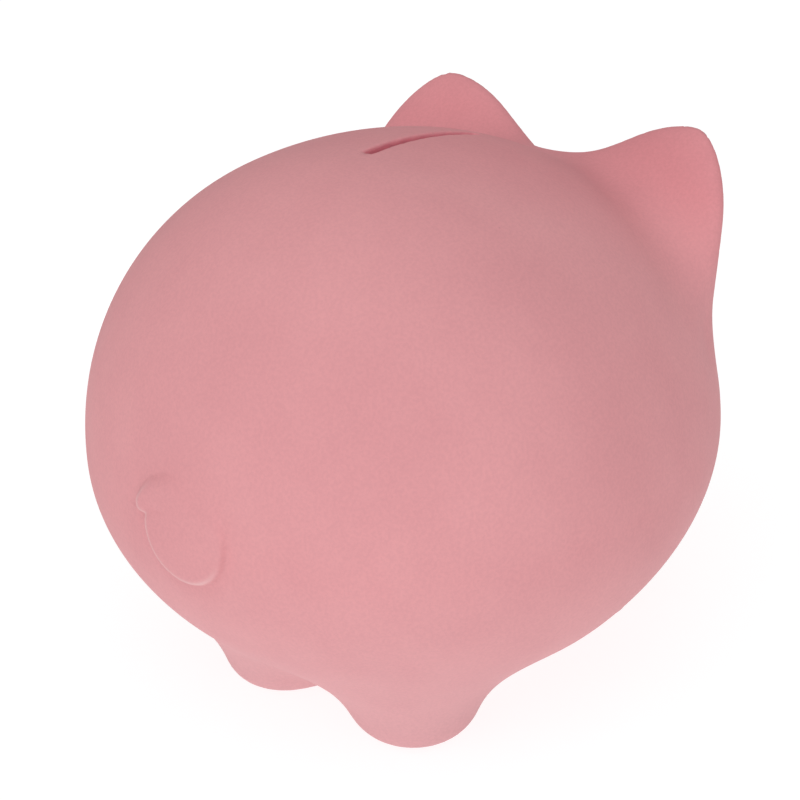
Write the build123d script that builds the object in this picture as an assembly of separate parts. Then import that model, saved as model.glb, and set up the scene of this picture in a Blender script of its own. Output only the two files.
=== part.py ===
from build123d import *
from math import cos, pi, radians, sin, sqrt
import os

# A coin bank: a round ceramic pig with a coin slot in its back and a soft stopper in its belly.
# Millimetres, +Z up. The snout points to -Y, the tail to +Y, and the pig's left side is +X.
# The origin is on the table, under the middle of the bank.

# Hollow body: an egg whose front, rear, top and bottom have different half axes
HALF_WIDTH = 67.9
FRONT_REACH = 80.1
REAR_REACH = 60.8
TOP_REACH = 65.8
BOTTOM_REACH = 48.0
WALL = 4.5
PAD_THICKNESS = 1.0
BODY_Z = PAD_THICKNESS + 57.1

# Snout: a short tapered drum with two nostrils
SNOUT_REACH = 9.0
SNOUT_RADIUS = 15.5
SNOUT_TAPER = 6.0
SNOUT_EDGE = 2.8
SNOUT_ROOT = 14.0
SNOUT_Z = BODY_Z - 2.0
NOSTRIL_X = 5.6
NOSTRIL_HALF = (2.1, 2.4, 3.2)

# Tail: a curl in low relief, a large round lobe with the tip's smaller lobe beside it
TAIL_RELIEF = 2.2
TAIL_LOBES = ((0.9, BODY_Z + 5.2, 11.3), (9.3, BODY_Z + 9.2, 6.6))

# The body sits so that snout and tail reach equally far from the origin
BODY_Y = (FRONT_REACH + SNOUT_REACH - REAR_REACH - TAIL_RELIEF) / 2

# Ears: flattened, pointed at the tip, leaning out and forward
EAR_CENTRE = (27.0, BODY_Y - 56.0, BODY_Z + 34.5)
EAR_HALF = (22.6, 6.7, 26.4)
EAR_POWER = 1.56
EAR_STEPS = 14
EAR_TILT = radians(18.0)
EAR_LEAN = radians(32.1)
EAR_YAW = radians(6.6)

# Legs: short stubs that widen upwards and flow into the belly
LEG_X = 19.3
LEG_Y = {"front": BODY_Y - 43.0, "rear": BODY_Y + 17.1}
LEG_HEIGHT = 39.0
FOOT_RADIUS = 12.0
LEG_TOP_RADIUS = 15.9
FOOT_EDGE = 3.0
LEG_BLEND = 5.0
LEG_WALL = 5.5

# Coin slot, lengthwise along the top of the back
SLOT_LENGTH = 33.0
SLOT_WIDTH = 4.2
SLOT_CORNER = 1.2
SLOT_Y = BODY_Y - 17.6

# Belly outlet: a flat seat, a hole wide enough for the largest coins, and a thick lip around it
STOPPER_Y = BODY_Y - 13.0
SEAT_Z = 12.0
SEAT_RADIUS = 19.5
LIP_RADIUS = 22.5
HOLE_RADIUS = 15.0

# Soft stopper: a flange, a hollow plug with a groove, and a pocket for the pull tab
SEAT_GAP = 0.1
FLANGE_RADIUS = 18.7
FLANGE_THICKNESS = 3.0
FLANGE_BOTTOM = SEAT_Z - SEAT_GAP - FLANGE_THICKNESS
FLANGE_EDGE = 1.0
PLUG_RADIUS = HOLE_RADIUS - 0.05
PLUG_RISE = 3.5
PLUG_TOP = SEAT_Z + WALL + PLUG_RISE
PLUG_CHAMFER = 1.2
PLUG_HOLLOW = 12.4
PLUG_FLOOR = 1.2
GROOVE_RADIUS = 14.3
GROOVE_SPAN = (SEAT_Z + 1.0, SEAT_Z + WALL)

# Pull tab: lies in the pocket and swings down on its root to be gripped
TAB_THICKNESS = 1.4
TAB_HALF_WIDTH = 7.0
TAB_LENGTH = 17.0
TAB_CORNER = 4.0
TAB_GAP = 0.3
POCKET_CORNER = 1.0
TAB_AXIS_Y = STOPPER_Y + 8.0
TAB_AXIS_Z = FLANGE_BOTTOM + TAB_THICKNESS / 2
GRIP_DEPTH = 1.2
GRIP_WIDTH = 2.0
GRIP_INSET = 4.0
GRIP_SETBACK = 1.6
FINGER_NOTCH = 3.6

# Felt pads and eyes
PAD_RADIUS = 6.0
EYE_X = 20.0
EYE_Z = 16.0
EYE_HALF = (3.0, 3.0, 1.3)


# Length by which a cutting tool runs past what it cuts
OVERRUN = 5.0


def egg(inset=0.0):
    """The body's form, shrunk (or, for a negative inset, grown) by inset all round."""
    whole = None
    for y_side, y_reach in ((-1, FRONT_REACH), (1, REAR_REACH)):
        for z_side, z_reach in ((1, TOP_REACH), (-1, BOTTOM_REACH)):
            quarter = Sphere(1) & Pos(0, y_side, z_side) * Box(4, 2, 2)
            half_axes = (HALF_WIDTH - inset, y_reach - inset, z_reach - inset)
            quarter = scale(quarter, by=half_axes)
            whole = quarter if whole is None else whole + quarter
    return Pos(0, BODY_Y, BODY_Z) * whole


def front_of_egg(x, z):
    """Y of the body's front surface at x and at height z above its centre."""
    return BODY_Y - FRONT_REACH * sqrt(1 - (x / HALF_WIDTH) ** 2 - (z / TOP_REACH) ** 2)


def blend_on(base, addition, radius):
    """Fuse addition to base, and round the inner corner where the two meet."""
    joined = base + addition
    old_edges = [*base.edges(), *addition.edges()]
    part_way = 0.37
    contact = 0.001
    corner = [
        edge
        for edge in joined.edges()
        if min(old.distance_to(edge @ part_way) for old in old_edges) > contact
    ]
    return fillet(corner, radius)


def ear():
    """The left ear: a superellipse turned about its height, then flattened."""
    angles = [pi / 2 * step / EAR_STEPS for step in range(EAR_STEPS + 1)]
    rim = [(cos(a) ** (2 / EAR_POWER), sin(a) ** (2 / EAR_POWER)) for a in angles]
    lower_rim = [(x, -z) for x, z in rim]
    outline = Spline(rim) + Spline(lower_rim) + Line((0, 1), (0, -1))
    turned = revolve(Plane.XZ * make_face(outline), Axis.Z)
    up = Vector(sin(EAR_TILT), -sin(EAR_LEAN) * cos(EAR_TILT), cos(EAR_LEAN) * cos(EAR_TILT))
    up = up.normalized()
    across = Vector(cos(EAR_YAW), sin(EAR_YAW), 0)
    across = (across - up * across.dot(up)).normalized()
    return Plane(origin=EAR_CENTRE, x_dir=across, z_dir=up) * scale(turned, by=EAR_HALF)


def leg(y):
    """The left leg at y, a cone standing on its narrow end, with a rounded foot."""
    stub = Cone(FOOT_RADIUS, LEG_TOP_RADIUS, LEG_HEIGHT)
    stub = fillet(stub.edges().sort_by(Axis.Z)[0], FOOT_EDGE)
    return Pos(LEG_X, y, PAD_THICKNESS + LEG_HEIGHT / 2) * stub


def leg_hollow(y):
    """The cavity's extension down into the left leg at y."""
    height = LEG_HEIGHT - LEG_WALL
    cone = Cone(FOOT_RADIUS - LEG_WALL, LEG_TOP_RADIUS - LEG_WALL, height)
    return Pos(LEG_X, y, PAD_THICKNESS + LEG_WALL + height / 2) * cone


def snout():
    """The drum at the front, its edge rounded, with its nostrils pressed in."""
    face_y = BODY_Y - FRONT_REACH - SNOUT_REACH
    depth = SNOUT_REACH + SNOUT_ROOT
    drum = Cone(SNOUT_RADIUS, SNOUT_RADIUS + SNOUT_TAPER, depth)
    drum = Pos(0, face_y + depth / 2, SNOUT_Z) * Rot(-90, 0, 0) * drum
    drum = fillet(drum.edges().sort_by(Axis.Y)[0], SNOUT_EDGE)
    for side in (-1, 1):
        drum -= Pos(side * NOSTRIL_X, face_y, SNOUT_Z) * scale(Sphere(1), by=NOSTRIL_HALF)
    return drum


def tail():
    """The curl: two lobes cut from a slightly larger egg, so they follow the rump."""
    lobes = None
    for x, z, radius in TAIL_LOBES:
        lobe = Cylinder(radius, 2 * radius)
        lobe = Pos(x, BODY_Y + REAR_REACH, z) * Rot(90, 0, 0) * lobe
        lobes = lobe if lobes is None else lobes + lobe
    return lobes & egg(-TAIL_RELIEF)


def below_seat(radius, low, high):
    """A disc or drum of the belly outlet, between two heights on its axis."""
    return Pos(0, STOPPER_Y, (low + high) / 2) * Cylinder(radius, high - low)


def eye(side):
    """A raised drop of enamel, half sunk into the face."""
    x = side * EYE_X
    y = front_of_egg(x, EYE_Z)
    normal = Vector(x / HALF_WIDTH**2, (y - BODY_Y) / FRONT_REACH**2, EYE_Z / TOP_REACH**2)
    place = Plane(origin=(x, y, BODY_Z + EYE_Z), z_dir=normal)
    return place * scale(Sphere(1), by=EYE_HALF)


def ceramic_body():
    """The one-piece casting: egg, ears, legs, snout and tail, hollow, with its openings cut."""
    solid = egg()
    for left_leg in (leg(y) for y in LEG_Y.values()):
        solid = blend_on(solid, left_leg, LEG_BLEND)
        solid = blend_on(solid, mirror(left_leg, Plane.YZ), LEG_BLEND)
    solid = solid + ear() + mirror(ear(), Plane.YZ) + snout() + tail()
    cavity = egg(WALL)
    for hollow in (leg_hollow(y) for y in LEG_Y.values()):
        cavity = cavity + hollow + mirror(hollow, Plane.YZ)
    solid -= cavity
    solid += below_seat(LIP_RADIUS, SEAT_Z, SEAT_Z + WALL)
    solid -= below_seat(SEAT_RADIUS, 0, SEAT_Z)
    solid -= below_seat(HOLE_RADIUS, 0, SEAT_Z + WALL + OVERRUN)
    slot = RectangleRounded(SLOT_WIDTH, SLOT_LENGTH, SLOT_CORNER)
    slot = extrude(slot, TOP_REACH + OVERRUN)
    solid -= Pos(0, SLOT_Y, BODY_Z) * slot
    for side in (-1, 1):
        solid -= eye(side)
    return solid


def belly_stopper():
    """Flange and hollow plug in one soft moulding, with a pocket for the tab."""
    solid = below_seat(FLANGE_RADIUS, FLANGE_BOTTOM, SEAT_Z - SEAT_GAP)
    solid = fillet(solid.edges().sort_by(Axis.Z)[0], FLANGE_EDGE)
    plug = below_seat(PLUG_RADIUS, FLANGE_BOTTOM + PLUG_FLOOR, PLUG_TOP)
    plug = chamfer(plug.edges().sort_by(Axis.Z)[-1], PLUG_CHAMFER)
    solid += plug
    solid -= below_seat(PLUG_HOLLOW, SEAT_Z + PLUG_FLOOR, PLUG_TOP)
    groove = below_seat(HOLE_RADIUS, *GROOVE_SPAN) - below_seat(GROOVE_RADIUS, *GROOVE_SPAN)
    solid -= groove
    rear = TAB_AXIS_Y + TAB_THICKNESS / 2 + TAB_GAP
    front = TAB_AXIS_Y - TAB_LENGTH - FINGER_NOTCH
    pocket = Box(2 * (TAB_HALF_WIDTH + TAB_GAP), rear - front, 2 * (TAB_THICKNESS + TAB_GAP))
    pocket = fillet(pocket.edges().filter_by(Axis.Z), POCKET_CORNER)
    return solid - Pos(0, (rear + front) / 2, FLANGE_BOTTOM) * pocket


def pull_tab():
    """The finger tab with its round root and its grip bar."""
    root = Rot(0, 90, 0) * Cylinder(TAB_THICKNESS / 2, 2 * TAB_HALF_WIDTH)
    plate = Box(2 * TAB_HALF_WIDTH, TAB_LENGTH, TAB_THICKNESS)
    plate = fillet(plate.edges().filter_by(Axis.Z).group_by(Axis.Y)[0], TAB_CORNER)
    plate = Pos(0, -TAB_LENGTH / 2, 0) * plate
    grip_height = GRIP_DEPTH + TAB_THICKNESS / 2
    grip = Box(2 * (TAB_HALF_WIDTH - GRIP_INSET), GRIP_WIDTH, grip_height)
    grip_y = GRIP_SETBACK + GRIP_WIDTH / 2 - TAB_LENGTH
    grip = Pos(0, grip_y, -grip_height / 2) * grip
    return Pos(0, TAB_AXIS_Y, TAB_AXIS_Z) * (root + plate + grip)


def foot_pad(x, y):
    """A felt disc glued under one foot."""
    return Pos(x, y, PAD_THICKNESS / 2) * Cylinder(PAD_RADIUS, PAD_THICKNESS)


parts = {
    "ceramic_body": ceramic_body(),
    "belly_stopper": belly_stopper(),
    "pull_tab": pull_tab(),
}
for side_name, side in (("left", 1), ("right", -1)):
    parts[f"eye_{side_name}"] = eye(side)
    for end_name, leg_y in LEG_Y.items():
        parts[f"foot_pad_{end_name}_{side_name}"] = foot_pad(side * LEG_X, leg_y)

os.makedirs("parts", exist_ok=True)
for name, shape in parts.items():
    export_step(shape, f"parts/{name}.step")
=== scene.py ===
"""A round matte-pink ceramic pig bank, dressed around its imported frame."""

import itertools
import math

import bpy
import numpy as np
from mathutils import Matrix, Vector


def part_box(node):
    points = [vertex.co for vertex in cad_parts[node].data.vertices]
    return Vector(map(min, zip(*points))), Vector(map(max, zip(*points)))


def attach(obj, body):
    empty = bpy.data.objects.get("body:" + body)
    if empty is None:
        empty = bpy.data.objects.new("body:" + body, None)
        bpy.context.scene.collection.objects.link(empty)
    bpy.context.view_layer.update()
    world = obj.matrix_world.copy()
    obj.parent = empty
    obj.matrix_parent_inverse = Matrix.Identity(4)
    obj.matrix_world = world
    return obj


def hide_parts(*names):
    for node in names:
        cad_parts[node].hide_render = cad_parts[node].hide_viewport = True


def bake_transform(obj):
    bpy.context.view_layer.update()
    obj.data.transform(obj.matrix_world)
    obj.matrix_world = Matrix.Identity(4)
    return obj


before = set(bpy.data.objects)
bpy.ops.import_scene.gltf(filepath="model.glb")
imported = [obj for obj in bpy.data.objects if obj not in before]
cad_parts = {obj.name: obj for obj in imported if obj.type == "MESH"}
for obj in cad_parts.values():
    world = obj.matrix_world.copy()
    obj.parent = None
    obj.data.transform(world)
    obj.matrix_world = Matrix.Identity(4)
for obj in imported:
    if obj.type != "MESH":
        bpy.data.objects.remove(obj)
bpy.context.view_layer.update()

# Shapes are written as fields in millimetres: negative inside, zero on the surface.
# The snout points to -Y, the tail to +Y, and the pig's left side is +X.
MM = 0.001


def box_mm(node):
    """Lowest and highest corner of a CAD node, in millimetres."""
    low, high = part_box(node)
    return np.array(low) / MM, np.array(high) / MM


body_low, body_high = box_mm("ceramic_body")
stopper_low, stopper_high = box_mm("belly_stopper")
tab_low, tab_high = box_mm("pull_tab")

# The egg: half axes to the sides, front, rear, top and bottom, and its centre
TAIL_RELIEF = 2.2
SNOUT_REACH = 9.0
HALF_WIDTH = body_high[0]
REAR_REACH = 60.8
TOP_REACH = 65.8
BOTTOM_REACH = 48.0
FRONT_REACH = body_high[1] - body_low[1] - REAR_REACH - TAIL_RELIEF - SNOUT_REACH
BODY_Y = body_high[1] - REAR_REACH - TAIL_RELIEF
BODY_Z = body_high[2] - TOP_REACH
WALL = 4.5

# Ears: half axes across, through and along each ear, its lean forward, tilt outward and
# yaw, and the hollow in its front face
EAR_CENTRE = np.array((27.0, BODY_Y - 56.0, BODY_Z + 34.5))
EAR_HALF = (22.6, 6.7, 26.4)
EAR_POWER = 1.56
EAR_BLEND = 13.0
EAR_TILT = math.radians(18.0)
EAR_LEAN = math.radians(32.1)
EAR_YAW = math.radians(6.6)
DISH_DEPTH = 3.0
DISH_REACH = 11.0
DISH_HEIGHT = 4.5
DISH_FADE = 4.0

# Legs: round feet on the pads, widening upwards into the egg
FOOT_RADIUS = 12.0
LEG_SLOPE = 0.0985
LEG_SLANT = 0.95
FOOT_EDGE = 7.0
LEG_BLEND = 17.0
LEG_REACH = 80.0
LEG_TOP = BODY_Z - 24.0
FOOT_Z = box_mm("foot_pad_rear_left")[1][2]
PAD_RADIUS = (box_mm("foot_pad_rear_left")[1][0] - box_mm("foot_pad_rear_left")[0][0]) / 2
LEG_HOLLOW_INSET = 5.5
LEG_HOLLOW_EDGE = 3.0
LEG_HOLLOW_BLEND = 5.0

# Snout
SNOUT_RADIUS = 16.0
SNOUT_Z = BODY_Z - 2.0
SNOUT_FACE = BODY_Y - FRONT_REACH - SNOUT_REACH
SNOUT_EDGE = 3.4
SNOUT_BLEND = 7.0
SNOUT_CROWN = 0.0035
SNOUT_DEPTH = 30.0
NOSTRIL_X = 5.6
NOSTRIL_HALF = (2.1, 2.6, 3.2)
NOSTRIL_EDGE = 1.2

# Tail: a flat curl of one turn, whose tip overhangs the round lobe at its left
TAIL_X = 0.9
TAIL_Z = BODY_Z + 5.2
TAIL_RADIUS = 11.3
TAIL_EDGE = 1.1
TOP_SOFTNESS = 1.8
ROOT_ANGLE = math.radians(113.0)
ROOT_SPREAD = math.radians(30.0)
ROOT_SOFTNESS = 4.0
TAIL_LOOK = 1.5
TAIL_FROM = BODY_Y + 30.0
TIP_RISE = 4.2
TIP_TURN = 1.5
TIP_EDGE = 3.0
TIP_BLEND = 0.8
NOTCH_ANGLE = math.radians(3.0)
CURL_TIGHTNESS = 9.0
CURL_FADE = 0.95
CURL_DEPTH = 0.3
MOAT_DEPTH = 0.12 * TAIL_RELIEF
MOAT_EDGE = 1.2
MOAT_WIDTH = 1.5
# Painted highlight on the curl's lower left rim: how far inside its edge it runs, and how wide
RIM_HIGHLIGHT_LINE = 0.95
RIM_HIGHLIGHT_WIDTH = 0.45

# Coin slot: half width and half length, and its turn as a sideways slope
SLOT_HALF = (1.35, 16.3)
SLOT_CORNER = 1.3
SLOT_LIP = 0.45
SLOT_SLANT = 0.07
SLOT_Y = BODY_Y - 17.6
SLOT_BOTTOM = BODY_Z + 20.0

# Belly outlet: a round seat for the stopper's flange, and a hole with a lip inside
OUTLET_Y = (stopper_low[1] + stopper_high[1]) / 2
FLANGE_THICKNESS = 3.0
FLANGE_Z = stopper_low[2]
SEAT_Z = FLANGE_Z + FLANGE_THICKNESS + 0.1
SEAT_RADIUS = 19.5
LIP_RADIUS = 22.5
LIP_BLEND = 1.5
HOLE_RADIUS = 15.0
CAST_EDGE = 1.0

# Stopper: a flange with a ring round it, and a hollow plug with a groove that snaps in
FLANGE_RADIUS = stopper_high[0]
FLANGE_EDGE = 0.9
PLUG_RADIUS = 14.95
PLUG_TOP = stopper_high[2]
PLUG_HOLLOW = 12.4
PLUG_FLOOR = 1.2
PLUG_EDGE = 1.2
GROOVE_RADIUS = 14.3
GROOVE_RISE = 2.75
GROOVE_HALF = 1.75
RING_INSET = 2.3
RING_RADIUS = 0.5

# Finger tab, its pocket in the flange, and the web that hinges it
TAB_HALF_WIDTH = tab_high[0]
TAB_HALF_THICK = 0.7
TAB_AXIS_Y = tab_high[1] - TAB_HALF_THICK
TAB_AXIS_Z = tab_high[2] - TAB_HALF_THICK
TAB_LENGTH = TAB_AXIS_Y - tab_low[1]
TAB_GAP = 0.3
TAB_CORNER = 4.0
WEB_MIDDLE = 0.45
WEB_HALF = 1.15
WEB_INSET = 1.5
WEB_HALF_THICK = 0.28
FINGER_NOTCH = 3.6
POCKET_CORNER = 0.8
GRIP_Y = 2.6 - TAB_LENGTH
GRIP_HALF = (3.0, 1.0)
GRIP_DROP = 0.95
RIBS = (2.6, 4.4, 6.2)
RIB_RADIUS = 0.3
RIB_HALF_WIDTH = 4.2

# Felt pads: how far the cut edge wanders, and in how many waves
PAD_INSET = 0.2
PAD_WAVES = ((0.1, 7), (0.07, 23), (0.05, 61))


# Field tools ---------------------------------------------------------------------------


def smooth_min(a, b, k):
    """Union of two fields with a blend of width k between them."""
    h = np.clip(0.5 + 0.5 * (b - a) / k, 0, 1)
    return b + (a - b) * h - k * h * (1 - h)


def smooth_max(a, b, k):
    """Intersection of two fields with a rounded edge of width k."""
    return -smooth_min(-a, -b, k)


def ellipsoid(x, y, z, half):
    """About the distance outside an ellipsoid with these half axes."""
    rx, ry, rz = half
    near = np.sqrt((x / rx) ** 2 + (y / ry) ** 2 + (z / rz) ** 2) + 1e-9
    slope = np.sqrt((x / rx**2) ** 2 + (y / ry**2) ** 2 + (z / rz**2) ** 2) + 1e-9
    return near * (near - 1) / slope


def rounded(radial, axial, radius):
    """An edge of the given radius between two plain distances."""
    outside = np.hypot(np.maximum(radial + radius, 0), np.maximum(axial + radius, 0))
    return np.minimum(np.maximum(radial, axial) + radius, 0) + outside - radius


def disc(x, y, z, radius, low, high, edge):
    """An upright drum between two heights with rounded edges."""
    axial = np.abs(z - (low + high) / 2) - (high - low) / 2
    return rounded(np.hypot(x, y) - radius, axial, edge)


def egg(x, y, z, inset=0.0):
    """The body's round form, made of four half ellipsoids, or the same form set in by a wall."""
    y = y - BODY_Y
    z = z - BODY_Z
    ry = np.where(y < 0, FRONT_REACH, REAR_REACH) - inset
    rz = np.where(z > 0, TOP_REACH, BOTTOM_REACH) - inset
    return ellipsoid(x, y, z, (HALF_WIDTH - inset, ry, rz))


def ear_axes():
    """Unit vectors across the ear, through it towards its back, and along it to the tip."""
    up = np.array(
        (
            math.sin(EAR_TILT),
            -math.sin(EAR_LEAN) * math.cos(EAR_TILT),
            math.cos(EAR_LEAN) * math.cos(EAR_TILT),
        )
    )
    up /= np.linalg.norm(up)
    across = np.array((math.cos(EAR_YAW), math.sin(EAR_YAW), 0.0))
    across -= up * (across @ up)
    across /= np.linalg.norm(across)
    return across, np.cross(up, across), up


def ear(x, y, z):
    """The left ear, a flattened superellipsoid with a soft hollow in its front face."""
    across, back, up = ear_axes()
    dx, dy, dz = x - EAR_CENTRE[0], y - EAR_CENTRE[1], z - EAR_CENTRE[2]
    a = dx * across[0] + dy * across[1] + dz * across[2]
    b = dx * back[0] + dy * back[1] + dz * back[2]
    h = dx * up[0] + dy * up[1] + dz * up[2]
    u, v, w = EAR_HALF
    m = EAR_POWER
    q = np.sqrt((a / u) ** 2 + (b / v) ** 2 + 1e-3)
    t = np.sqrt((h / w) ** 2 + 1e-3)
    g = (q**m + t**m) ** (1 / m)
    shared = g ** (1 - m)
    along_q = shared * q ** (m - 2)
    slope = np.sqrt(
        (along_q * a / u**2) ** 2
        + (along_q * b / v**2) ** 2
        + (shared * t ** (m - 2) * h / w**2) ** 2
        + 1e-9
    )
    inside_rim = np.clip(1 - np.abs(a / u) ** m - np.abs(h / w) ** m, 0, 1)
    dish = inside_rim * np.exp(-(((h - DISH_HEIGHT) / DISH_REACH) ** 2))
    return (g - 1) / slope + DISH_DEPTH * dish * np.clip(0.5 - b / DISH_FADE, 0, 1)


def leg(x, y, z, centre):
    """A stub widening upwards, cut off inside the egg."""
    radius = FOOT_RADIUS + LEG_SLOPE * np.clip(z - FOOT_Z, 0, LEG_REACH)
    side = (np.sqrt((x - centre[0]) ** 2 + (y - centre[1]) ** 2 + 1e-6) - radius) * LEG_SLANT
    return np.maximum(smooth_max(side, FOOT_Z - z, FOOT_EDGE), z - LEG_TOP)


def feet():
    """The middle of each foot in the plan, from the pads under them."""
    for end, side in itertools.product(("front", "rear"), ("left", "right")):
        low, high = box_mm(f"foot_pad_{end}_{side}")
        yield (low + high) / 2


FEET = list(feet())


def snout(x, y, z):
    """A round drum with a slightly crowned face."""
    radial = np.hypot(x, z - SNOUT_Z)
    crown = SNOUT_CROWN * radial**2
    drum = rounded(radial - SNOUT_RADIUS, SNOUT_FACE + crown - y, SNOUT_EDGE)
    return np.maximum(drum, y - SNOUT_FACE - SNOUT_DEPTH)


def tail_outline(x, z):
    """Distance outside the curl's outline, its polar place, and the turn from the notch."""
    dx, dz = x - TAIL_X, z - TAIL_Z
    distance = np.hypot(dx, dz)
    angle = np.arctan2(dz, dx)
    turn = np.mod(angle - NOTCH_ANGLE, 2 * math.pi)
    above_notch = dz * math.cos(NOTCH_ANGLE) - dx * math.sin(NOTCH_ANGLE)
    tip_edge = distance - TAIL_RADIUS - TIP_RISE * np.clip(1 - turn / TIP_TURN, 0, 1)
    tip_edge = smooth_max(tip_edge, -above_notch, TIP_EDGE)
    return smooth_min(distance - TAIL_RADIUS, tip_edge, TIP_BLEND), distance, angle, turn


def tail_height(x, z):
    """Relief of the curled tail: steep all round, but growing softly out of the rump at its root.

    A groove follows the start of the curl, and a faint moat lies outside its lower left edge.
    """
    edge, distance, angle, turn = tail_outline(x, z)
    root = np.exp(-(((angle - ROOT_ANGLE) / ROOT_SPREAD) ** 2)) * np.clip(distance / 6 - 0.4, 0, 1)
    softness = 1 + ROOT_SOFTNESS * root + TOP_SOFTNESS * np.clip(np.sin(angle), 0, 1)
    climb = np.clip(-edge / (TAIL_EDGE * softness), 0, 1)
    climb = (1 - (1 - climb) ** 2) * (1 - root) + climb * climb * (3 - 2 * climb) * root
    curl = distance - TAIL_RADIUS - 0.4 + CURL_TIGHTNESS * turn
    groove = np.exp(-(curl**2)) * np.clip(1 - turn / CURL_FADE, 0, 1)
    moat = np.exp(-(((edge - MOAT_EDGE) / MOAT_WIDTH) ** 2)) * lower_left(angle)
    return TAIL_LOOK * climb * (1 - CURL_DEPTH * groove) - MOAT_DEPTH * moat


def lower_left(angle):
    """1 along the curl's lower left side, fading to 0 a third of a turn away."""
    return np.clip(1.4 * np.cos(angle + 1.0) + 0.3, 0, 1)


def outside(x, y, z):
    """The pig's outer form, without its openings."""
    field = egg(x, y, z)
    field = smooth_min(field, ear(x, y, z), EAR_BLEND)
    field = smooth_min(field, ear(-x, y, z), EAR_BLEND)
    for centre in FEET:
        field = smooth_min(field, leg(x, y, z, centre), LEG_BLEND)
    field = smooth_min(field, snout(x, y, z), SNOUT_BLEND)
    return field - np.where(y > TAIL_FROM, tail_height(x, z), 0)


def cavity(x, y, z):
    """The hollow: a smaller egg with a finger down into each leg."""
    field = egg(x, y, z, WALL)
    for centre in FEET:
        radius = FOOT_RADIUS - LEG_HOLLOW_INSET + LEG_SLOPE * np.clip(z - FOOT_Z, 0, LEG_REACH)
        side = np.hypot(x - centre[0], y - centre[1]) - radius
        finger = smooth_max(side, FOOT_Z + LEG_HOLLOW_INSET - z, LEG_HOLLOW_EDGE)
        field = smooth_min(field, np.maximum(finger, z - LEG_TOP), LEG_HOLLOW_BLEND)
    return field


def rectangle(x, y, half, corner):
    """Distance to an upright bar's outline in the plan, with round corners."""
    dx = np.abs(x) - half[0] + corner
    dy = np.abs(y) - half[1] + corner
    return np.hypot(np.maximum(dx, 0), np.maximum(dy, 0)) + np.minimum(np.maximum(dx, dy), 0) - corner


def slot(x, y, z):
    """The coin slot, turned a little from the pig's lengthwise line."""
    along = y - SLOT_Y
    plan = rectangle(x - SLOT_SLANT * along, along, SLOT_HALF, SLOT_CORNER)
    return np.maximum(plan, SLOT_BOTTOM - z)


def nostrils(x, y, z):
    """Two shallow ovals pressed into the snout's face."""
    return ellipsoid(np.abs(x) - NOSTRIL_X, y - SNOUT_FACE, z - SNOUT_Z, NOSTRIL_HALF)


def pig(x, y, z):
    """The whole casting, with its hollow, the seat and hole of the outlet, and the slot."""
    field = smooth_max(outside(x, y, z), -nostrils(x, y, z), NOSTRIL_EDGE)
    field = smooth_max(field, -cavity(x, y, z), CAST_EDGE)
    radial = np.hypot(x, y - OUTLET_Y)
    lip = np.maximum(radial - LIP_RADIUS, np.abs(z - SEAT_Z - WALL / 2) - WALL / 2)
    field = smooth_min(field, lip, LIP_BLEND)
    field = smooth_max(field, -np.maximum(radial - SEAT_RADIUS, z - SEAT_Z), CAST_EDGE)
    field = smooth_max(field, -np.maximum(radial - HOLE_RADIUS, z - BODY_Z), CAST_EDGE)
    return smooth_max(field, -slot(x, y, z), SLOT_LIP)


def stopper(x, y, z):
    """Flange, hollow plug with its snap groove, and the pocket that the tab lies in."""
    y = y - OUTLET_Y
    radial = np.hypot(x, y)
    flange = disc(x, y, z, FLANGE_RADIUS, FLANGE_Z, FLANGE_Z + FLANGE_THICKNESS, FLANGE_EDGE)
    plug = disc(x, y, z, PLUG_RADIUS, FLANGE_Z + PLUG_FLOOR, PLUG_TOP, PLUG_EDGE)
    groove = np.maximum(GROOVE_RADIUS - radial, np.abs(z - SEAT_Z - GROOVE_RISE) - GROOVE_HALF)
    field = smooth_min(flange, smooth_max(plug, -groove, 0.5), 0.5)
    hollow = np.maximum(radial - PLUG_HOLLOW, SEAT_Z + PLUG_FLOOR - z)
    field = smooth_max(field, -hollow, 0.6)
    ring = np.hypot(radial - FLANGE_RADIUS + RING_INSET, z - FLANGE_Z) - RING_RADIUS
    field = smooth_max(field, -ring, 0.4)
    rear = TAB_AXIS_Y + TAB_HALF_THICK + TAB_GAP - OUTLET_Y
    front = TAB_AXIS_Y - TAB_LENGTH - FINGER_NOTCH - OUTLET_Y
    half = (TAB_HALF_WIDTH + TAB_GAP, (rear - front) / 2)
    plan = rectangle(x, y - (rear + front) / 2, half, POCKET_CORNER)
    pocket = np.maximum(plan, z - FLANGE_Z - 2 * TAB_HALF_THICK - TAB_GAP)
    return smooth_max(field, -pocket, 0.5)


def tab(x, y, z):
    """The finger tab: a plate with a round root, a grip bar and fine ribs underneath."""
    y = y - TAB_AXIS_Y
    z = z - TAB_AXIS_Z
    half = (TAB_HALF_WIDTH, TAB_LENGTH)
    plan = np.maximum(rectangle(x, y, half, TAB_CORNER), y)
    plate = rounded(plan, np.abs(z) - TAB_HALF_THICK, 0.35)
    root = rounded(np.hypot(y, z) - TAB_HALF_THICK, np.abs(x) - TAB_HALF_WIDTH, 0.3)
    field = smooth_min(plate, root, 0.3)
    grip_plan = rectangle(x, y - GRIP_Y, GRIP_HALF, 0.8)
    grip = rounded(grip_plan, np.abs(z + GRIP_DROP) - GRIP_DROP, 0.5)
    field = smooth_min(field, grip, 0.5)
    for offset in RIBS:
        rib = np.hypot(y - GRIP_Y - offset, z + TAB_HALF_THICK) - RIB_RADIUS
        field = smooth_min(field, np.maximum(rib, np.abs(x) - RIB_HALF_WIDTH), 0.3)
    return field


def hinge_web(x, y, z):
    """The slender strip that joins the tab's root to the wall of its pocket."""
    across = np.abs(x) - TAB_HALF_WIDTH + WEB_INSET
    along = np.abs(y - TAB_AXIS_Y - WEB_MIDDLE) - WEB_HALF
    return rounded(np.maximum(across, along), np.abs(z - TAB_AXIS_Z) - WEB_HALF_THICK, 0.2)


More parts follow.
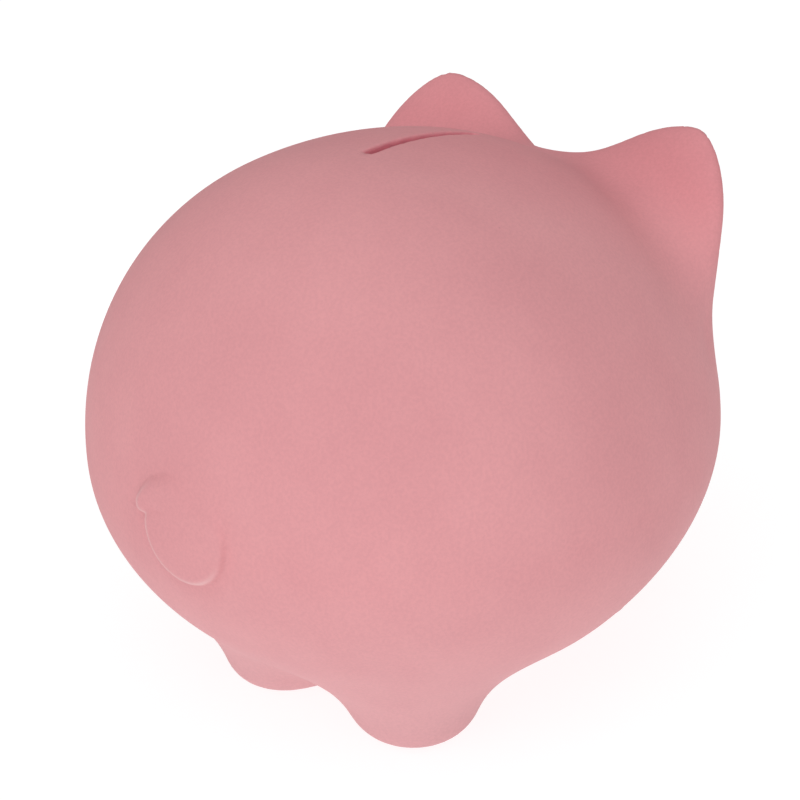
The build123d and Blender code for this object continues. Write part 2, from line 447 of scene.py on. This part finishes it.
def felt(x, y, z, centre):
    """A punched felt disc with a slightly ragged edge."""
    angle = np.arctan2(y - centre[1], x - centre[0])
    starts = (centre[0], centre[1], 0)
    rag = sum(size * np.sin(waves * angle + start) for (size, waves), start in zip(PAD_WAVES, starts))
    radial = np.hypot(x - centre[0], y - centre[1]) - PAD_RADIUS + PAD_INSET - rag
    return rounded(radial, np.abs(z - centre[2]) - FOOT_Z / 2, 0.3)


# Meshing -------------------------------------------------------------------------------


def grid_lines(low, high, coarse, *zones):
    """Grid lines from low to high, closer together inside each zone (from, to, step)."""
    lines = [low]
    while lines[-1] < high:
        here = lines[-1]
        steps = [step for start, stop, step in zones if start - coarse <= here < stop]
        lines.append(here + min([coarse, *steps]))
    return np.array(lines)


# The corners of a grid cell, and one step along each axis
CORNERS = list(itertools.product((0, 1), repeat=3))
STEPS = np.eye(3, dtype=int)


def sample(field, lines):
    """The field's value at every crossing of the grid lines."""
    values = np.empty([len(axis) for axis in lines])
    y, z = np.meshgrid(lines[1], lines[2], indexing="ij")
    for i, x in enumerate(lines[0]):
        values[i] = field(np.full_like(y, x), y, z)
    return values


def crossed_cells(solid):
    """The cells with corners both inside and outside."""
    shape = np.array(solid.shape) - 1
    count = np.zeros(shape, np.int8)
    for corner in CORNERS:
        count += solid[tuple(slice(c, c + n) for c, n in zip(corner, shape))]
    return np.argwhere((count > 0) & (count < len(CORNERS)))


def cell_points(values, lines, cells):
    """The mean, in each cell, of the places where its edges cross the surface."""
    total = np.zeros((len(cells), 3))
    hits = np.zeros(len(cells))
    for corner, axis in itertools.product(CORNERS, range(3)):
        if corner[axis]:
            continue
        first = cells + corner
        second = first + STEPS[axis]
        a, b = values[tuple(first.T)], values[tuple(second.T)]
        crossed = (a < 0) != (b < 0)
        share = np.where(crossed, a / np.where(crossed, a - b, 1), 0)[:, None]
        start = np.stack([lines[n][first[:, n]] for n in range(3)], 1)
        stop = np.stack([lines[n][second[:, n]] for n in range(3)], 1)
        total += np.where(crossed[:, None], start + share * (stop - start), 0)
        hits += crossed
    return total / hits[:, None]


def cell_quads(solid, cells):
    """One quad for each grid edge that crosses the surface, facing out."""
    number = np.full(np.array(solid.shape) - 1, -1)
    number[tuple(cells.T)] = np.arange(len(cells))
    quads = []
    for axis in range(3):
        one, two = (axis + 1) % 3, (axis + 2) % 3
        low, high = [slice(None)] * 3, [slice(None)] * 3
        low[axis], high[axis] = slice(None, -1), slice(1, None)
        for sense in (True, False):
            entering = (solid[tuple(low)] == sense) & (solid[tuple(high)] == (not sense))
            edges = np.argwhere(entering)
            around = (0 * STEPS[0], STEPS[one], STEPS[one] + STEPS[two], STEPS[two])
            ring = [number[tuple((edges - step).T)] for step in around]
            quads.append(np.stack(ring if sense else ring[::-1], 1))
    return np.concatenate(quads)


def surface_net(field, lines):
    """Vertices and quads where the field changes sign: one vertex in each crossed cell."""
    values = sample(field, lines)
    solid = values < 0
    cells = crossed_cells(solid)
    return cell_points(values, lines, cells), cell_quads(solid, cells)


def gradient(field, points, step=0.05):
    """The field's slope at each point, by central differences."""
    slopes = []
    for axis in np.eye(3) * step:
        ahead, behind = field(*(points + axis).T), field(*(points - axis).T)
        slopes.append((ahead - behind) / (2 * step))
    return np.stack(slopes, 1)


def settle(field, points, rounds=1, reach=0.8):
    """Move points along the field's slope onto its surface."""
    for _ in range(rounds):
        slope = gradient(field, points)
        push = -field(*points.T) / np.maximum((slope**2).sum(1), 0.05)
        move = push[:, None] * slope
        length = np.linalg.norm(move, axis=1, keepdims=True)
        points = points + move * np.minimum(1, reach / np.maximum(length, 1e-9))
    return points


def relax(field, points, quads, rounds):
    """Even out the mesh by sliding each vertex towards its neighbours' mean."""
    first = np.concatenate([quads[:, n] for n in range(4)])
    second = np.concatenate([quads[:, (n + 1) % 4] for n in range(4)])
    for _ in range(rounds):
        mean = np.zeros_like(points)
        for axis in range(3):
            mean[:, axis] = np.bincount(first, points[second, axis], len(points))
            mean[:, axis] += np.bincount(second, points[first, axis], len(points))
        ways = np.bincount(first, minlength=len(points)) + np.bincount(second, minlength=len(points))
        move = mean / ways[:, None] - points
        normal = gradient(field, points)
        normal /= np.linalg.norm(normal, axis=1, keepdims=True) + 1e-9
        move -= (move * normal).sum(1)[:, None] * normal
        points = settle(field, points + 0.6 * move)
    return points


def mesh_of(name, field, lines, rounds=2):
    """A smooth-shaded object whose surface is where the field is zero."""
    points, quads = surface_net(field, lines)
    points = relax(field, settle(field, points, 2), quads, rounds)
    mesh = bpy.data.meshes.new(name)
    mesh.from_pydata((points * MM).tolist(), [], quads.tolist())
    mesh.validate()
    mesh.shade_smooth()
    piece = bpy.data.objects.new(name, mesh)
    bpy.context.scene.collection.objects.link(piece)
    return piece, points, quads


# Materials -----------------------------------------------------------------------------


def new_material(name, roughness, specular):
    material = bpy.data.materials.new(name)
    material.use_nodes = True
    shader = material.node_tree.nodes["Principled BSDF"]
    shader.inputs["Roughness"].default_value = roughness
    shader.inputs["Specular IOR Level"].default_value = specular
    return material, material.node_tree, shader


def add_node(tree, kind, **settings):
    """A node with its own settings and its sockets' constants given by name."""
    node = tree.nodes.new(kind)
    for key, value in settings.items():
        if hasattr(node, key):
            setattr(node, key, value)
        else:
            node.inputs[key.replace("_", " ").title()].default_value = value
    return node


def noise(tree, place, scale, detail=2.0, roughness=0.5):
    """Soft noise with this many waves to the metre."""
    node = add_node(tree, "ShaderNodeTexNoise", scale=scale, detail=detail, roughness=roughness)
    tree.links.new(place, node.inputs["Vector"])
    return node.outputs["Fac"]


def ramp(tree, value, stops):
    """A colour for each value, between stops of (place, colour)."""
    node = tree.nodes.new("ShaderNodeValToRGB")
    tree.links.new(value, node.inputs["Fac"])
    while len(node.color_ramp.elements) < len(stops):
        node.color_ramp.elements.new(0.5)
    for element, (position, colour) in zip(node.color_ramp.elements, stops):
        element.position = position
        element.color = (*colour, 1)
    return node.outputs["Color"]


def mix_colour(tree, factor, a, b, mode="MIX"):
    """Blend b over a; each of the three may be a socket or a constant."""
    node = tree.nodes.new("ShaderNodeMix")
    node.data_type = "RGBA"
    node.blend_type = mode
    sockets = {"Factor": node.inputs[0], "A": node.inputs[6], "B": node.inputs[7]}
    for key, value in (("Factor", factor), ("A", a), ("B", b)):
        if isinstance(value, bpy.types.NodeSocket):
            tree.links.new(value, sockets[key])
        elif key == "Factor":
            sockets[key].default_value = value
        else:
            sockets[key].default_value = (*value, 1)
    return node.outputs[2]


def bump(tree, shader, height, distance, strength=1.0, below=None):
    """Roughen the shader's surface, on top of a finer bump below if there is one."""
    node = add_node(tree, "ShaderNodeBump", strength=strength, distance=distance)
    tree.links.new(height, node.inputs["Height"])
    if below is not None:
        tree.links.new(below, node.inputs["Normal"])
    tree.links.new(node.outputs["Normal"], shader.inputs["Normal"])
    return node.outputs["Normal"]


def math_node(tree, operation, a, b):
    node = tree.nodes.new("ShaderNodeMath")
    node.operation = operation
    for socket, value in zip(node.inputs, (a, b)):
        if isinstance(value, bpy.types.NodeSocket):
            tree.links.new(value, socket)
        else:
            socket.default_value = value
    return node.outputs[0]


def object_place(tree):
    return tree.nodes.new("ShaderNodeTexCoord").outputs["Object"]


def dot_product(tree, vector, direction):
    node = add_node(tree, "ShaderNodeVectorMath", operation="DOT_PRODUCT")
    node.inputs[1].default_value = direction
    tree.links.new(vector, node.inputs[0])
    return node.outputs["Value"]


def vertex_value(tree, name):
    """A value stored on the mesh's vertices."""
    return add_node(tree, "ShaderNodeAttribute", attribute_name=name).outputs["Fac"]


# The sprayed pink, with painted light in it: paler towards the feet as a painted reflection of the
# white floor's light, and a deeper pink towards the ears as painted shade
PINK = [(0.3, (0.745, 0.376, 0.396)), (0.7, (0.785, 0.406, 0.424))]
UPWARDS = (0.0, 0.0, 10.0)
PAINTED_FLOOR_REFLECTION = [(0.1, (0.985, 1.0, 1.0)), (0.6, (1.0, 0.868, 0.878))]
EAR_SHADE_DIRECTION = (0.0, -4.63, 5.55)
PAINTED_EAR_SHADE = [(0.62, (1.0, 1.0, 1.0)), (0.79, (1.0, 0.87, 0.89))]
GRAIN = [(0.35, (0.9, 0.9, 0.9)), (0.65, (1.0, 1.0, 1.0))]
GRAIN_SHARE = 0.55

# The coat's pinholes that show the dark body, then painted light: a brighter, redder pink glowing
# inside the slot and a pale painted highlight on the curl's lower left rim
PINHOLE = [(0.012, (1.0, 1.0, 1.0)), (0.022, (0.0, 0.0, 0.0))]
PINHOLE_RED = (0.28, 0.09, 0.1)
SLOT_GLOW_PINK = (0.86, 0.26, 0.32)
RIM_HIGHLIGHT_PINK = (0.93, 0.74, 0.72)
RIM_HIGHLIGHT_SHARE = 0.35


def pink_with_painted_light(tree, place):
    """Faint mottling and fine grain over painted light: paler towards the feet, deeper pink towards
    the ears.
    """
    pink = ramp(tree, noise(tree, place, 38, 3, 0.55), PINK)
    # Painted light: pale the lower body as if lit from the floor, and deepen the pink towards the
    # ears as painted shade
    for direction, stops in ((UPWARDS, PAINTED_FLOOR_REFLECTION), (EAR_SHADE_DIRECTION, PAINTED_EAR_SHADE)):
        painted_tint = ramp(tree, dot_product(tree, place, direction), stops)
        pink = mix_colour(tree, 1.0, pink, painted_tint, "MULTIPLY")
    grain = ramp(tree, noise(tree, place, 1500, 2, 0.6), GRAIN)
    return mix_colour(tree, GRAIN_SHARE, pink, grain, "MULTIPLY")


def add_pinholes_and_painted_light(tree, place, colour):
    """Pinholes, then painted light: a glowing deeper pink inside the slot and a pale highlight along
    the curl's lower left rim.
    """
    cells = add_node(tree, "ShaderNodeTexVoronoi", scale=42)
    tree.links.new(place, cells.inputs["Vector"])
    speck = ramp(tree, cells.outputs["Distance"], PINHOLE)
    colour = mix_colour(tree, speck, colour, PINHOLE_RED)
    # Painted light: the slot's walls glow a deeper, redder pink
    colour = mix_colour(tree, vertex_value(tree, "slot_glow"), colour, SLOT_GLOW_PINK)
    # Painted highlight along the curl's lower left rim, the side that catches the light
    rim_highlight = math_node(tree, "MULTIPLY", vertex_value(tree, "rim_highlight"), RIM_HIGHLIGHT_SHARE)
    return mix_colour(tree, rim_highlight, colour, RIM_HIGHLIGHT_PINK)


def pink_ceramic():
    """Matte pink engobe on earthenware, with painted light and shade in its colour."""
    material, tree, shader = new_material("pink_ceramic", 0.78, 0.3)
    place = object_place(tree)
    colour = add_pinholes_and_painted_light(tree, place, pink_with_painted_light(tree, place))
    tree.links.new(colour, shader.inputs["Base Color"])
    rough = ramp(tree, noise(tree, place, 120, 2), [(0.3, (0.72,) * 3), (0.7, (0.84,) * 3)])
    tree.links.new(rough, shader.inputs["Roughness"])
    fine = bump(tree, shader, noise(tree, place, 1500, 3, 0.6), 0.00006, 0.5)
    bump(tree, shader, noise(tree, place, 210, 2, 0.5), 0.0002, 0.25, fine)
    return material


# Lowest and highest colour of the other materials
CLAY = [(0.3, (0.66, 0.6, 0.53)), (0.7, (0.76, 0.71, 0.64))]
MILK = [(0.3, (0.7, 0.69, 0.66)), (0.7, (0.77, 0.765, 0.74))]
INK = [(0.3, (0.012, 0.011, 0.012)), (0.7, (0.028, 0.024, 0.025))]
WOOL = [(0.3, (0.42, 0.38, 0.34)), (0.7, (0.66, 0.62, 0.57))]


def bare_clay():
    """Unglazed white earthenware inside the bank."""
    material, tree, shader = new_material("bare_clay", 0.9, 0.2)
    place = object_place(tree)
    clay = ramp(tree, noise(tree, place, 90, 4, 0.6), CLAY)
    tree.links.new(clay, shader.inputs["Base Color"])
    bump(tree, shader, noise(tree, place, 700, 4, 0.65), 0.0003, 0.5)
    return material


def soft_vinyl():
    """Milky soft PVC with the faint bloom of a moulded surface."""
    material, tree, shader = new_material("soft_vinyl", 0.46, 0.45)
    place = object_place(tree)
    milk = ramp(tree, noise(tree, place, 110, 3), MILK)
    tree.links.new(milk, shader.inputs["Base Color"])
    rough = ramp(tree, noise(tree, place, 320, 3), [(0.35, (0.4,) * 3), (0.65, (0.54,) * 3)])
    tree.links.new(rough, shader.inputs["Roughness"])
    bump(tree, shader, noise(tree, place, 1100, 2, 0.5), 0.0001, 0.35)
    return material


def black_enamel():
    """Fired black enamel drop, glossy with a faint unevenness."""
    material, tree, shader = new_material("black_enamel", 0.12, 0.6)
    place = object_place(tree)
    ink = ramp(tree, noise(tree, place, 500, 2), INK)
    tree.links.new(ink, shader.inputs["Base Color"])
    rough = ramp(tree, noise(tree, place, 700, 2), [(0.3, (0.1,) * 3), (0.7, (0.2,) * 3)])
    tree.links.new(rough, shader.inputs["Roughness"])
    bump(tree, shader, noise(tree, place, 350, 1), 0.0002, 0.15)
    return material


def wool_felt():
    """Grey-beige felt with fibres lying every way."""
    material, tree, shader = new_material("wool_felt", 0.95, 0.1)
    place = object_place(tree)
    fibre = noise(tree, place, 1400, 5, 0.75)
    wool = ramp(tree, fibre, WOOL)
    tree.links.new(wool, shader.inputs["Base Color"])
    bump(tree, shader, fibre, 0.0004, 0.8)
    return material


def table_paper():
    """White paper on a light table, so that it stays white under the bank."""
    material, tree, shader = new_material("table_paper", 0.9, 0.2)
    place = object_place(tree)
    stops = [(0.3, (FLOOR_SHADE,) * 3), (0.7, (FLOOR_SHADE + 0.02,) * 3)]
    white = ramp(tree, noise(tree, place, 6, 2), stops)
    tree.links.new(white, shader.inputs["Base Color"])
    shader.inputs["Emission Color"].default_value = (1, 1, 1, 1)
    shader.inputs["Emission Strength"].default_value = FLOOR_GLOW
    return material


# Pieces --------------------------------------------------------------------------------


def dress(piece, body, node):
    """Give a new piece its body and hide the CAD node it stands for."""
    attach(piece, body)
    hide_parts(node)


def add_painted_light_masks(piece, points):
    """Masks for painted light: a glow inside the slot, and a highlight along the curl's lower left
    rim.
    """
    x, y, z = points.T
    in_slot = np.clip(-slot(x, y, z) / 0.2 + 1.5, 0, 1)
    # Painted glow on the slot's walls below the outer surface
    slot_glow = in_slot * np.clip(-egg(x, y, z) / 0.5 - 0.3, 0, 1)
    edge, _, angle, _ = tail_outline(x, z)
    # Painted highlight along the curl's lower left rim
    rim_highlight = np.exp(-(((edge + RIM_HIGHLIGHT_LINE) / RIM_HIGHLIGHT_WIDTH) ** 2)) * lower_left(angle) * (y > TAIL_FROM)
    for name, values in (("slot_glow", slot_glow), ("rim_highlight", rim_highlight)):
        attribute = piece.data.attributes.new(name, "FLOAT", "POINT")
        attribute.data.foreach_set("value", values.astype(np.float32))


# The body's most triangles, and its grid steps: on plain parts, at slot, tail, ears and rump
MOST_TRIANGLES = 194000
PLAIN_STEP = 1.6
MIDDLE_STEP = 1.0
EAR_STEP = 0.8
RUMP_STEP = 0.7
TAIL_STEP = 0.5
SLOT_STEP = 0.4

# How close to the hollow's surface the clay is bare, and its mesh may be thinned out
BARE_WITHIN = 0.9
LOOSE_WITHIN = 0.25


def thin_out(piece, loose, share):
    """Merge triangles around the loose vertices until only this share of all is left."""
    group = piece.vertex_groups.new(name="loose")
    group.add(np.flatnonzero(loose).tolist(), 1.0, "REPLACE")
    thinner = piece.modifiers.new("thin_out", "DECIMATE")
    thinner.vertex_group = group.name
    thinner.ratio = share
    depsgraph = bpy.context.evaluated_depsgraph_get()
    thinned = bpy.data.meshes.new_from_object(piece.evaluated_get(depsgraph), depsgraph=depsgraph)
    piece.modifiers.clear()
    piece.vertex_groups.clear()
    piece.data = thinned
    thinned.name = piece.name


def pig_grid():
    """Grid lines over the whole body, closer together where it has fine detail."""
    across = (
        (TAIL_X - 13, TAIL_X + 18, TAIL_STEP),
        (-3.2, 3.2, SLOT_STEP),
        (-20, 20, MIDDLE_STEP),
        (-50, -38, EAR_STEP),
        (38, 50, EAR_STEP),
    )
    along = ((BODY_Y + 53, BODY_Y + 66, RUMP_STEP), (BODY_Y - 72, BODY_Y - 48, EAR_STEP))
    upward = ((TAIL_Z - 13, TAIL_Z + 14, TAIL_STEP), (BODY_Z + 34, BODY_Z + 68, EAR_STEP))
    low = (-HALF_WIDTH, body_low[1], FOOT_Z)
    high = (HALF_WIDTH, body_high[1], body_high[2])
    zones = (across, along, upward)
    return [grid_lines(a - 2, b + 2, PLAIN_STEP, *fine) for a, b, fine in zip(low, high, zones)]


def make_pig():
    """The body, pink outside and bare inside, with a coarser mesh inside where nothing shows."""
    piece, points, quads = mesh_of("pig_body", pig, pig_grid())
    inside = cavity(*points[quads].mean(1).T) < BARE_WITHIN
    piece.data.polygons.foreach_set("material_index", inside.astype(np.int32))
    add_painted_light_masks(piece, points)
    piece.data.materials.append(pink_ceramic())
    piece.data.materials.append(bare_clay())
    thin_out(piece, cavity(*points.T) < LOOSE_WITHIN, MOST_TRIANGLES / (2 * len(quads)))
    dress(piece, "bank", "ceramic_body")


def even_lines(low, high, step):
    """Grid lines of one step over a box and 1 mm round it."""
    return [grid_lines(a - 1, b + 1, step) for a, b in zip(low, high)]


def make_stopper():
    """The bung and its finger tab, in the same vinyl."""
    vinyl = soft_vinyl()
    piece, _, _ = mesh_of("stopper_moulding", stopper, even_lines(stopper_low, stopper_high, 0.6))
    piece.data.materials.append(vinyl)
    dress(piece, "stopper", "belly_stopper")
    piece, _, _ = mesh_of("tab_moulding", tab, even_lines(tab_low, tab_high, 0.36))
    piece.data.materials.append(vinyl)
    dress(piece, "tab", "pull_tab")
    return vinyl


def make_web(vinyl):
    """The living hinge: a slender strip of the same vinyl at the tab's root, baked in place without a
    body.
    """
    middle = np.array((0, TAB_AXIS_Y + WEB_MIDDLE, TAB_AXIS_Z))
    reach = np.array((TAB_HALF_WIDTH, WEB_HALF, 0.3))
    web, _, _ = mesh_of("hinge_web", hinge_web, even_lines(middle - reach, middle + reach, 0.2))
    web.data.materials.append(vinyl)
    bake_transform(web)


def make_pads():
    """Four felt discs, each with its own ragged edge."""
    wool = wool_felt()
    for end, side in itertools.product(("front", "rear"), ("left", "right")):
        node = f"foot_pad_{end}_{side}"
        low, high = box_mm(node)

        def disc_field(x, y, z, centre=(low + high) / 2):
            return felt(x, y, z, centre)

        piece, _, _ = mesh_of(f"felt_{end}_{side}", disc_field, even_lines(low, high, 0.4))
        piece.data.materials.append(wool)
        dress(piece, "bank", node)


def enamel_eyes():
    """The eyes keep their CAD shape and get their enamel."""
    enamel = black_enamel()
    for side in ("left", "right"):
        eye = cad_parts[f"eye_{side}"]
        eye.data.materials.clear()
        eye.data.materials.append(enamel)


make_pig()
make_web(make_stopper())
make_pads()
enamel_eyes()


# Studio --------------------------------------------------------------------------------

# A glowing floor and a white backdrop; the camera in degrees, metres and, for its lens,
# millimetres, aimed a little beside the egg's middle
FLOOR_GLOW = 0.805
FLOOR_SHADE = 0.3
BACKDROP = 1.0
CAMERA_AZIMUTH = 221.49
CAMERA_ELEVATION = 27.06
CAMERA_ROLL = -3.41
CAMERA_DISTANCE = 0.5291
CAMERA_LENS = 110.3
AIM_RIGHT = 0.00367
AIM_UP = 0.00839


def make_floor():
    """A wide round table top at the height of the pads."""
    bpy.ops.mesh.primitive_circle_add(vertices=128, radius=6, fill_type="NGON")
    floor = bpy.context.object
    floor.name = "floor"
    floor.data.materials.append(table_paper())


# Soft boxes in the tent: azimuth, elevation, how tightly each gathers, strength
SOFT_BOXES = (
    (0.0, 90.0, 1.5, 0.205),
    (171.0, 12.0, 3.0, 0.721),
    (221.0, 55.0, 3.0, 1.362),
    (41.0, 15.0, 2.0, 0.319),
    (311.0, 15.0, 2.0, 0.145),
)


def direction(azimuth, elevation):
    """A unit vector; azimuth 0 is in front of the snout and 90 on the pig's left."""
    a, e = math.radians(azimuth), math.radians(elevation)
    return Vector((math.sin(a) * math.cos(e), -math.cos(a) * math.cos(e), math.sin(e)))


def make_sky():
    """A tent of soft light, with a broad glow round each soft box, which looks plain white."""
    world = bpy.data.worlds.new("tent")
    bpy.context.scene.world = world
    world.use_nodes = True
    tree = world.node_tree
    sight = tree.nodes.new("ShaderNodeTexCoord").outputs["Generated"]
    total = None
    for azimuth, elevation, tightness, strength in SOFT_BOXES:
        toward = dot_product(tree, sight, direction(azimuth, elevation))
        glow = math_node(tree, "MAXIMUM", toward, 0.0)
        glow = math_node(tree, "POWER", glow, tightness)
        glow = math_node(tree, "MULTIPLY", glow, strength)
        total = glow if total is None else math_node(tree, "ADD", total, glow)
    seen = tree.nodes.new("ShaderNodeLightPath").outputs["Is Camera Ray"]
    backdrop = mix_colour(tree, seen, total, (BACKDROP,) * 3)
    tree.links.new(backdrop, tree.nodes["Background"].inputs["Color"])


def make_camera():
    """A camera on the tail's side, a little above, turned by its roll about its own axis."""
    back = direction(CAMERA_AZIMUTH, CAMERA_ELEVATION)
    azimuth = math.radians(CAMERA_AZIMUTH)
    right = Vector((math.cos(azimuth), math.sin(azimuth), 0))
    up = back.cross(right)
    turn = Matrix.Rotation(math.radians(CAMERA_ROLL), 3, back)
    data = bpy.data.cameras.new("camera")
    data.lens = CAMERA_LENS
    data.clip_start = 0.01
    camera = bpy.data.objects.new("camera", data)
    bpy.context.scene.collection.objects.link(camera)
    centre = Vector((0, BODY_Y, BODY_Z)) * MM
    place = centre + right * AIM_RIGHT + up * AIM_UP + back * CAMERA_DISTANCE
    axes = Matrix((turn @ right, turn @ up, turn @ back)).transposed()
    camera.matrix_world = Matrix.Translation(place) @ axes.to_4x4()
    bpy.context.scene.camera = camera


make_floor()
make_sky()
make_camera()
bpy.context.scene.view_settings.view_transform = "Standard"
